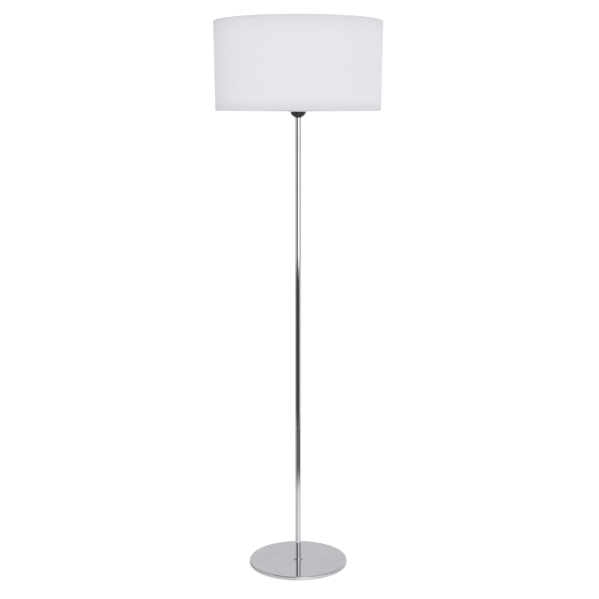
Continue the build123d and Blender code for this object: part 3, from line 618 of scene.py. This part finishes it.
def coverFaces(work, route, turns, columns, lowCount, slits, half):
    # faces between the columns, left out where the turned-in edge is slit for an arm
    uvLayer = work.loops.layers.uv["cloth"]
    runs = routeRuns(route)
    slitFoot = 0.5 * (wireLow.z + wireHigh.z) - half * wireRadius
    for column in range(len(turns) - 1):
        first, second = columns[column], columns[column + 1]
        middle = 0.5 * (turns[column] + turns[column + 1])
        bearing = (middle + math.pi / 2) % math.tau
        inSlit = any(abs(bearing - slit) < half for slit in slits)
        uFirst, uSecond = turns[column] * coverRadius, turns[column + 1] * coverRadius
        for index in range(len(route) - 1):
            height = 0.5 * (route[index][1] + route[index + 1][1])
            if inSlit and index < lowCount // 2 and height > slitFoot:
                continue
            face = work.faces.new((first[index], first[index + 1], second[index + 1], second[index]))
            values = ((uFirst, runs[index]), (uFirst, runs[index + 1]),
                      (uSecond, runs[index + 1]), (uSecond, runs[index]))
            for loop, value in zip(face.loops, values):
                loop[uvLayer].uv = value
    loose = [vert for vert in work.verts if not vert.link_faces]
    bmesh.ops.delete(work, geom=loose, context="VERTS")
    return runs[-1]


def faceOut(work, sample, outward):
    # turns all faces round if the sample doesn't face the given way
    if sample.normal.dot(outward) < 0:
        bmesh.ops.reverse_faces(work, faces=work.faces)


def makeCover():
    route, lowCount, highCount = coverRoute()
    whole = math.tau + cover["lap"] / coverRadius
    slits, half = armSlits(wireRadius)
    turns = coverTurns(whole, slits, half)
    work = bmesh.new()
    work.loops.layers.uv.new("cloth")
    work.verts.layers.float.new("hemBand")
    columns = coverColumns(work, route, turns, lowCount, highCount)
    length = coverFaces(work, route, turns, columns, lowCount, slits, half)
    work.normal_update()
    outermost = max(work.faces, key=lambda face: math.hypot(*face.calc_center_median().xy))
    centre = outermost.calc_center_median()
    faceOut(work, outermost, Vector((centre.x, centre.y, 0)))
    obj = pieceFrom(work, "shade_cover_cloth", finishes["fabric"])
    wall = giveWall(obj, cover["thick"], -1.0)
    wall.use_even_offset = True
    return obj, length, coverRadius * whole


coverCloth, clothLength, clothWidth = makeCover()
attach(coverCloth, "shade")
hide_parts("shade_cover")
print("cover cut", round(clothWidth, 3), "by", round(clothLength, 3))


# seam of the lining

liningSeam = {
    "width": 11 * mm,
    "thick": 0.22 * mm,
    "corner": 1.5 * mm,
    "columns": 10,
    "rows": 40,
    "endGap": 7 * mm,
    "sheet": 0.5 * mm,  # the lining's own thickness
    "clearance": 0.02 * mm,
}


def seamHalfWidth(nearEnd):
    # half the strip's width, less in its rounded corners
    corner = liningSeam["corner"]
    cut = corner - min(nearEnd, corner)
    bulge = math.sqrt(max(0.0, corner ** 2 - cut ** 2))
    return 0.5 * liningSeam["width"] - corner + bulge


def makeLiningSeam():
    # the strip glued over the lining's joint, inside at the back
    linerLow, linerHigh = span("shade_liner")
    inside = halfWidth(linerLow, linerHigh) - liningSeam["sheet"] - liningSeam["clearance"]
    fall = coverRadius - wireRadius - cover["pastWire"]
    low, high = linerLow.z + liningSeam["endGap"], linerHigh.z - liningSeam["endGap"]
    work = bmesh.new()
    rows = []
    for row in range(liningSeam["rows"] + 1):
        height = low + (high - low) * row / liningSeam["rows"]
        radius = inside - fall * (linerHigh.z - height) / (linerHigh.z - linerLow.z)
        half = seamHalfWidth(min(height - low, high - height))
        line = []
        for column in range(liningSeam["columns"] + 1):
            angle = math.pi / 2 + half * (1 - 2 * column / liningSeam["columns"]) / radius
            line.append(work.verts.new((radius * math.cos(angle), radius * math.sin(angle), height)))
        rows.append(line)
    for lower, upper in zip(rows, rows[1:]):
        for column in range(liningSeam["columns"]):
            work.faces.new((lower[column], upper[column], upper[column + 1], lower[column + 1]))
    work.normal_update()
    work.faces.ensure_lookup_table()
    faceOut(work, work.faces[0], Vector((0, -1, 0)))
    obj = pieceFrom(work, "shade_lining_seam", finishes["lining"])
    giveWall(obj, liningSeam["thick"], 1.0)
    return obj


seamStrip = makeLiningSeam()
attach(seamStrip, "shade")
print("lining seam made")


# helpers for what repeats, as Geometry Nodes

def geometryTree(name, inputs):
    tree = bpy.data.node_groups.new(name, "GeometryNodeTree")
    tree.interface.new_socket("Geometry", in_out="INPUT", socket_type="NodeSocketGeometry")
    for label, kind in inputs:
        tree.interface.new_socket(label, in_out="INPUT", socket_type=kind)
    tree.interface.new_socket("Geometry", in_out="OUTPUT", socket_type="NodeSocketGeometry")
    return tree, tree.nodes.new("NodeGroupInput"), tree.nodes.new("NodeGroupOutput")


def endTree(tree, given, result, geometry):
    # instances made real, shaded smooth and given the material
    real = tree.nodes.new("GeometryNodeRealizeInstances")
    soft = tree.nodes.new("GeometryNodeSetShadeSmooth")
    dressed = tree.nodes.new("GeometryNodeSetMaterial")
    tree.links.new(geometry, real.inputs[0])
    tree.links.new(real.outputs[0], soft.inputs[0])
    tree.links.new(soft.outputs[0], dressed.inputs[0])
    tree.links.new(given.outputs["Material"], dressed.inputs["Material"])
    tree.links.new(dressed.outputs[0], result.inputs[0])


def growPiece(name, tree, values, points=()):
    # runs a tree on a few points and keeps its result as a plain mesh
    seed = bpy.data.meshes.new(name + "Seed")
    seed.from_pydata([tuple(point) for point in points], [], [])
    obj = makeObject(name, seed, values["Material"])
    grower = obj.modifiers.new("grower", "NODES")
    grower.node_group = tree
    for item in tree.interface.items_tree:
        if item.in_out == "INPUT" and item.name in values:
            grower[item.identifier] = values[item.name]
    graph = bpy.context.evaluated_depsgraph_get()
    mesh = bpy.data.meshes.new_from_object(
        obj.evaluated_get(graph), preserve_all_data_layers=True, depsgraph=graph)
    mesh.name = name
    obj.modifiers.clear()
    obj.data = mesh
    bpy.data.meshes.remove(seed)
    return obj


# beads where the arms are welded on

welds = {
    "bead": 1.55 * mm,
    "uneven": 0.9 * mm,
    "seed": 4,
    "lumps": 420.0,  # scale of the noise that makes a bead uneven
    "ringSink": 0.3 * mm,
}


def beadTree():
    # a slightly uneven round bead on every point
    tree, given, result = geometryTree("weldBeads", (
        ("Material", "NodeSocketMaterial"), ("Bead", "NodeSocketFloat"),
        ("Uneven", "NodeSocketFloat"), ("Seed", "NodeSocketInt")))
    ball = addNode(tree, "GeometryNodeMeshIcoSphere", {"Subdivisions": 3})
    tree.links.new(given.outputs["Bead"], ball.inputs["Radius"])
    lump = addNode(tree, "ShaderNodeTexNoise", {"Scale": welds["lumps"], "Detail": 1.0})
    offCentre = mathNode(tree, "SUBTRACT", lump.outputs["Fac"], 0.5)
    spread = mathNode(tree, "MULTIPLY", offCentre, given.outputs["Uneven"])
    push = addNode(tree, "ShaderNodeVectorMath", operation="SCALE")
    normal = tree.nodes.new("GeometryNodeInputNormal")
    tree.links.new(normal.outputs[0], push.inputs[0])
    tree.links.new(spread, push.inputs["Scale"])
    moved = tree.nodes.new("GeometryNodeSetPosition")
    tree.links.new(ball.outputs["Mesh"], moved.inputs["Geometry"])
    tree.links.new(push.outputs[0], moved.inputs["Offset"])
    turn = addNode(tree, "FunctionNodeRandomValue", data_type="FLOAT_VECTOR")
    turn.inputs[1].default_value = (math.tau, math.tau, math.tau)
    tree.links.new(given.outputs["Seed"], turn.inputs["Seed"])
    placed = tree.nodes.new("GeometryNodeInstanceOnPoints")
    tree.links.new(given.outputs["Geometry"], placed.inputs["Points"])
    tree.links.new(moved.outputs[0], placed.inputs["Instance"])
    tree.links.new(turn.outputs[0], placed.inputs["Rotation"])
    endTree(tree, given, result, placed.outputs[0])
    return tree


def weldPoints():
    # both ends of every arm: on the centre ring and inside the bottom wire
    ringLow, ringHigh = span("centre_ring")
    ringRadius = halfWidth(ringLow, ringHigh) + welds["ringSink"]
    ringHeight = 0.5 * (ringLow.z + ringHigh.z)
    wireInside = wireRadius - (wireHigh.z - wireLow.z)
    wireHeight = 0.5 * (wireLow.z + wireHigh.z)
    bearings, _ = armSlits(wireInside)
    points = []
    for bearing in bearings:
        out = Vector((math.cos(bearing), math.sin(bearing), 0))
        points.append(out * ringRadius + Vector((0, 0, ringHeight)))
        points.append(out * wireInside + Vector((0, 0, wireHeight)))
    return points


weldBeads = growPiece("arm_weld_beads", beadTree(), {
    "Material": finishes["white"], "Bead": welds["bead"], "Uneven": welds["uneven"],
    "Seed": welds["seed"],
}, weldPoints())
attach(weldBeads, "shade")


# ribs round the clamp ring's collar

grips = {
    "count": 60,
    "rib": 0.32 * mm,
    "sides": 10,
    "plate": 2.2 * mm,  # height of the ring's plate, below the collar
    "plateStep": 5.4 * mm,  # from the plate's edge in to the collar
    "endGap": 0.6 * mm,
}


def ribTree():
    # upright ribs round a collar
    tree, given, result = geometryTree("gripRibs", (
        ("Material", "NodeSocketMaterial"), ("Count", "NodeSocketInt"),
        ("Radius", "NodeSocketFloat"), ("Rib", "NodeSocketFloat"),
        ("Height", "NodeSocketFloat"), ("Middle", "NodeSocketVector")))
    circle = tree.nodes.new("GeometryNodeMeshCircle")
    tree.links.new(given.outputs["Count"], circle.inputs["Vertices"])
    tree.links.new(given.outputs["Radius"], circle.inputs["Radius"])
    spine = addNode(tree, "GeometryNodeMeshCylinder", {"Vertices": grips["sides"], "Side Segments": 1})
    tree.links.new(given.outputs["Rib"], spine.inputs["Radius"])
    tree.links.new(given.outputs["Height"], spine.inputs["Depth"])
    placed = tree.nodes.new("GeometryNodeInstanceOnPoints")
    tree.links.new(circle.outputs[0], placed.inputs["Points"])
    tree.links.new(spine.outputs["Mesh"], placed.inputs["Instance"])
    raised = tree.nodes.new("GeometryNodeTransform")
    tree.links.new(placed.outputs[0], raised.inputs["Geometry"])
    tree.links.new(given.outputs["Middle"], raised.inputs["Translation"])
    endTree(tree, given, result, raised.outputs[0])
    return tree


def makeGripRibs():
    low, high = span("shade_clamp_ring")
    foot, head = low.z + grips["plate"], high.z - grips["endGap"]
    return growPiece("clamp_grip_ribs", ribTree(), {
        "Material": finishes["black"], "Count": grips["count"], "Rib": grips["rib"],
        "Radius": halfWidth(low, high) - grips["plateStep"],
        "Height": head - foot, "Middle": (0.0, 0.0, 0.5 * (foot + head)),
    })


gripRibs = makeGripRibs()
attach(gripRibs, "clamp_ring")
print("beads and ribs made:", len(weldBeads.data.polygons), len(gripRibs.data.polygons))


# studio: what the mirrors show, as brightness by bearing from the front, in degrees

mirrorBands = {
    "far": ((-180, 0.75), (-150, 0.5), (-125, 0.45), (-95, 0.58), (-74, 0.56), (-52, 0.22),
            (-29, 0.08), (-9, 0.15), (1, 1.3), (8, 2.7), (15, 1.35), (24, 0.85), (50, 1.0),
            (72, 0.62), (101, 0.42), (140, 0.8), (180, 0.75)),
    "low": ((-180, 0.5), (-165, 0.2), (-125, 0.2), (-95, 0.22), (-74, 0.18), (-50, 0.06),
            (-29, 0.045), (8, 0.04), (30, 0.11), (50, 0.32), (75, 0.58), (101, 0.83),
            (140, 0.9), (180, 0.8)),
    "edge": ((-180, 0.5), (-165, 0.14), (-125, 0.16), (-80, 0.5), (-50, 0.17), (-29, 0.05),
             (8, 0.2), (30, 0.07), (55, 0.06), (80, 0.42), (101, 0.82), (140, 0.9), (180, 0.8)),
    "near": ((-180, 0.6), (-165, 0.3), (-110, 0.5), (-60, 0.64), (-10, 0.64), (8, 1.25),
             (26, 0.58), (70, 0.8), (101, 1.05), (180, 0.85)),
    "rim": ((-180, 0.5), (-165, 0.3), (-110, 0.5), (-60, 0.64), (-10, 0.66), (8, 0.83),
            (26, 0.84), (50, 0.72), (76, 0.69), (101, 0.56), (180, 0.6)),
    "high": ((-180, 0.63), (-120, 0.6), (-80, 0.3), (-50, 0.14), (-29, 0.1), (-10, 0.3),
             (8, 1.2), (25, 0.6), (50, 0.5), (80, 0.2), (120, 0.58), (180, 0.63)),
}
bandSteps = (  # degrees above level where each band begins and is whole
    ("low", -6.6, -7.9), ("edge", -14.2, -15.6), ("near", -17.2, -18.6), ("rim", -20.5, -21.3),
    ("high", 8.0, 18.0),
)
studio = {
    "mirrorTint": (0.99, 0.988, 1.015),
    "overhead": (0.3, 0.3, 0.31, 1),
    "overheadFrom": 34.0,
    "overheadTo": 55.0,
    "soft": (0.985, 0.98, 1.0, 1),
    "softPower": 0.858,
    "seenPower": 1.05,
    "flagBearing": -134.0,  # a black flag behind the lamp on the left
    "flagHalf": 0.26,
    "flagEnd": 0.40,
    "flagPower": 0.03,
}


def bandRamp(tree, bearingShare, stops):
    ramp = tree.nodes.new("ShaderNodeValToRGB")
    ramp.color_ramp.interpolation = "EASE"
    tree.links.new(bearingShare, ramp.inputs[0])
    elements = ramp.color_ramp.elements
    while len(elements) < len(stops):
        elements.new(0.5)
    for element, (bearing, value) in zip(elements, stops):
        element.position = (bearing + 180) / 360
        element.color = (*[value * tint for tint in studio["mirrorTint"]], 1)
    return ramp.outputs["Color"]


def mirroredColour(tree, turned, rise):
    # the bands, each fading into the next with the height of view
    bearingShare = mapRange(tree, turned, -math.pi, math.pi)
    colour = bandRamp(tree, bearingShare, mirrorBands["far"])
    for name, begin, whole in bandSteps:
        share = mapRange(tree, rise, begin, whole, smoothStep=True)
        colour = mixColour(tree, share, colour, bandRamp(tree, bearingShare, mirrorBands[name]))
    top = mapRange(tree, rise, studio["overheadFrom"], studio["overheadTo"], smoothStep=True)
    return mixColour(tree, top, colour, studio["overhead"])


def background(tree, colour, strength):
    node = tree.nodes.new("ShaderNodeBackground")
    feed(tree, node.inputs["Color"], colour)
    feed(tree, node.inputs["Strength"], strength)
    return node.outputs[0]


def mixShader(tree, factor, first, second):
    node = tree.nodes.new("ShaderNodeMixShader")
    tree.links.new(factor, node.inputs[0])
    tree.links.new(first, node.inputs[1])
    tree.links.new(second, node.inputs[2])
    return node.outputs[0]


def makeWorld():
    # plain for the camera, soft on the lamp, with darker and lighter sides in mirrors
    world = bpy.data.worlds.new("studio")
    bpy.context.scene.world = world
    world.use_nodes = True
    tree = world.node_tree
    tree.nodes.clear()
    out = tree.nodes.new("ShaderNodeOutputWorld")
    direction = tree.nodes.new("ShaderNodeTexCoord").outputs["Generated"]
    split = tree.nodes.new("ShaderNodeSeparateXYZ")
    tree.links.new(direction, split.inputs[0])
    front = mathNode(tree, "MULTIPLY", split.outputs["Y"], -1.0)
    turned = mathNode(tree, "ARCTAN2", split.outputs["X"], front)
    rise = mathNode(tree, "MULTIPLY", mathNode(tree, "ARCSINE", split.outputs["Z"]), 180 / math.pi)
    fromFlag = mathNode(tree, "ADD", turned, math.radians(-studio["flagBearing"]))
    fromFlag = mathNode(tree, "ABSOLUTE", fromFlag)
    softPower = mapRange(tree, fromFlag, studio["flagHalf"], studio["flagEnd"], studio["flagPower"],
                         studio["softPower"], smoothStep=True)

    glossy = background(tree, mirroredColour(tree, turned, rise), 1.0)
    soft = background(tree, studio["soft"], softPower)
    seen = background(tree, (1.0, 1.0, 1.0, 1), studio["seenPower"])
    light = tree.nodes.new("ShaderNodeLightPath")
    lit = mixShader(tree, light.outputs["Is Glossy Ray"], soft, glossy)
    tree.links.new(mixShader(tree, light.outputs["Is Camera Ray"], lit, seen), out.inputs["Surface"])


# floor, lights and camera

floorLook = {"radius": 14.0, "corners": 96, "grey": (0.5, 0.5, 0.5, 1), "glow": 0.66,
             "rough": 0.9, "specular": 0.1}
lamps = {
    "key": {"place": (1.5, -4.0, 3.0), "size": 2.2, "power": 13.0},
    "fill": {"place": (-3.0, -2.6, 2.2), "size": 2.4, "power": 3.0},
}
lampAim = Vector((0, 0, 1.0))
view = {"place": (0.0035, -3.170, 1.265), "pitch": 8.86, "focal": 68.81, "sensor": 36.0,
        "nearest": 0.05, "farthest": 60.0}


def makeFloor():
    material, tree, shader = newMaterial("paleFloor")
    shader.inputs["Base Color"].default_value = floorLook["grey"]
    shader.inputs["Emission Color"].default_value = (1, 1, 1, 1)
    shader.inputs["Emission Strength"].default_value = floorLook["glow"]
    shader.inputs["Roughness"].default_value = floorLook["rough"]
    shader.inputs["Specular IOR Level"].default_value = floorLook["specular"]
    work = bmesh.new()
    bmesh.ops.create_circle(
        work, cap_ends=True, segments=floorLook["corners"], radius=floorLook["radius"])
    mesh = bpy.data.meshes.new("floor")
    work.to_mesh(mesh)
    work.free()
    floor = makeObject("floor", mesh, material)
    floor.visible_glossy = False


def makeLamp(name, place, size, power):
    lamp = bpy.data.lights.new(name, "AREA")
    lamp.shape = "DISK"
    lamp.size = size
    lamp.energy = power
    obj = bpy.data.objects.new(name, lamp)
    bpy.context.scene.collection.objects.link(obj)
    obj.location = place
    obj.rotation_euler = (lampAim - Vector(place)).to_track_quat("-Z", "Y").to_euler()
    obj.visible_camera = False
    obj.visible_glossy = False


def makeCamera():
    data = bpy.data.cameras.new("camera")
    data.sensor_width = view["sensor"]
    data.lens = view["focal"]
    data.clip_start = view["nearest"]
    data.clip_end = view["farthest"]
    obj = bpy.data.objects.new("camera", data)
    bpy.context.scene.collection.objects.link(obj)
    obj.location = view["place"]
    obj.rotation_euler = (math.radians(90.0 - view["pitch"]), 0.0, 0.0)
    bpy.context.scene.camera = obj


makeWorld()
makeFloor()
for name, lamp in lamps.items():
    makeLamp(name, **lamp)
makeCamera()
bpy.context.scene.view_settings.view_transform = "Standard"
print("studio made")
